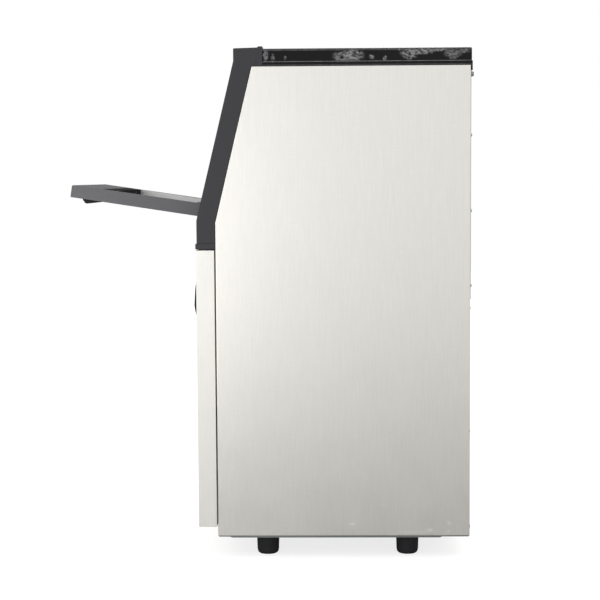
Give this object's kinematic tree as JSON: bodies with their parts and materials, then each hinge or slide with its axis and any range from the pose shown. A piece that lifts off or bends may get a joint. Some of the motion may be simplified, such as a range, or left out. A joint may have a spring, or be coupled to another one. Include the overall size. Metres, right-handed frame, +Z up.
{
  "type": "ice machine",
  "caption": "Undercounter ice machine: stainless cabinet on feet, sloped dark front frame, flip-down door, control pod, louvred front and ice maker inside.",
  "frame": {"origin": "floor level, under the middle of the machine with its door open", "axes": "+Z up, -Y is the front that the door opens to, +X the machine's right side as seen from behind it"},
  "size_m": [0.386, 0.6301, 0.8005],
  "materials": {
    "stainless_steel": "satin, fine vertical grain",
    "dark_plastic": "moulded, fine matt texture",
    "black_gloss": "glossy moulded lid and controls",
    "black_rubber": "matt",
    "white_plastic": "food-grade moulded",
    "foam": "rigid insulation",
    "nickel": "nickel-plated copper",
    "copper": "drawn copper tube",
    "black_enamel": "black enamel",
    "aluminium": "mill finish",
    "galvanised": "galvanised sheet",
    "clear_tube": "milky hose"
  },
  "bodies": {
    "cabinet": {"base_pan": "galvanised", "bin_liner": "white_plastic", "bin_sensor": "white_plastic", "compressor": "black_enamel", "condenser": "aluminium", "control_housing": "black_gloss", "cord_gland": "black_rubber", "cover_screw_left": "aluminium", "cover_screw_right": "aluminium", "discharge_pipe": "copper", "display_window": "black_gloss", "drain_fitting": "white_plastic", "drain_hose": "clear_tube", "electrical_box": "galvanised", "evaporator_coil": "copper", "evaporator_frame": "white_plastic", "evaporator_plate": "nickel", "fan_motor": "galvanised", "fan_shroud": "black_enamel", "filter_drier": "copper", "float_stem": "white_plastic", "foam_jacket": "foam", "foot_front_left": "black_rubber", "foot_front_right": "black_rubber", "foot_rear_left": "black_rubber", "foot_rear_right": "black_rubber", "front_frame": "dark_plastic", "front_panel": "stainless_steel", "grommet_front_left": "black_rubber", "grommet_front_right": "black_rubber", "grommet_rear_left": "black_rubber", "grommet_rear_right": "black_rubber", "hinge_pin_left": "aluminium", "hinge_pin_right": "aluminium", "inlet_valve": "white_plastic", "liquid_pipe": "copper", "lower_rear_panel": "galvanised", "motor_bracket": "galvanised", "pump_hose": "clear_tube", "side_panel_left": "stainless_steel", "side_panel_right": "stainless_steel", "sill_trim": "dark_plastic", "spray_tube": "white_plastic", "suction_pipe": "copper", "top_cover": "black_gloss", "upper_rear_panel": "galvanised", "water_pump": "black_enamel", "water_trough": "white_plastic"},
    "door": {"door_frame": "dark_plastic", "door_liner": "stainless_steel", "door_strip": "black_rubber", "door_grip": "black_rubber"},
    "curtain": {"water_curtain": "white_plastic"},
    "fan": {"fan_blade": "dark_plastic"},
    "float_ring": {"float": "white_plastic"},
    "push_1": {"button_1": "dark_plastic"},
    "push_2": {"button_2": "dark_plastic"},
    "push_3": {"button_3": "dark_plastic"},
    "push_4": {"button_4": "dark_plastic"}
  },
  "joints": [
    {"name": "door_hinge", "type": "hinge", "parent": "cabinet", "child": "door", "pos_m": [0, -0.10085, 0.5479], "axis": [-1, 0, 0], "range_deg": [0, 94.9]},
    {"name": "curtain_swing", "type": "hinge", "parent": "cabinet", "child": "curtain", "pos_m": [0, 0.20532, 0.741], "axis": [-1, 0, 0], "range_deg": [-4, 40]},
    {"name": "fan_spin", "type": "hinge", "parent": "cabinet", "child": "fan", "pos_m": [-0.092, -0.01538, 0.1218], "axis": [0, 1, 0], "continuous": true},
    {"name": "float_slide", "type": "slide", "parent": "cabinet", "child": "float_ring", "axis": [0, 0, 1], "range_m": [0, 0.028]},
    {"name": "button_press_1", "type": "slide", "parent": "cabinet", "child": "push_1", "axis": [0, 0.96, -0.28], "range_m": [0, 0.001], "stiffness_N_per_m": 300},
    {"name": "button_press_2", "type": "slide", "parent": "cabinet", "child": "push_2", "axis": [0, 0.96, -0.28], "range_m": [0, 0.001], "stiffness_N_per_m": 300},
    {"name": "button_press_3", "type": "slide", "parent": "cabinet", "child": "push_3", "axis": [0, 0.96, -0.28], "range_m": [0, 0.001], "stiffness_N_per_m": 300},
    {"name": "button_press_4", "type": "slide", "parent": "cabinet", "child": "push_4", "axis": [0, 0.96, -0.28], "range_m": [0, 0.001], "stiffness_N_per_m": 300}
  ]
}
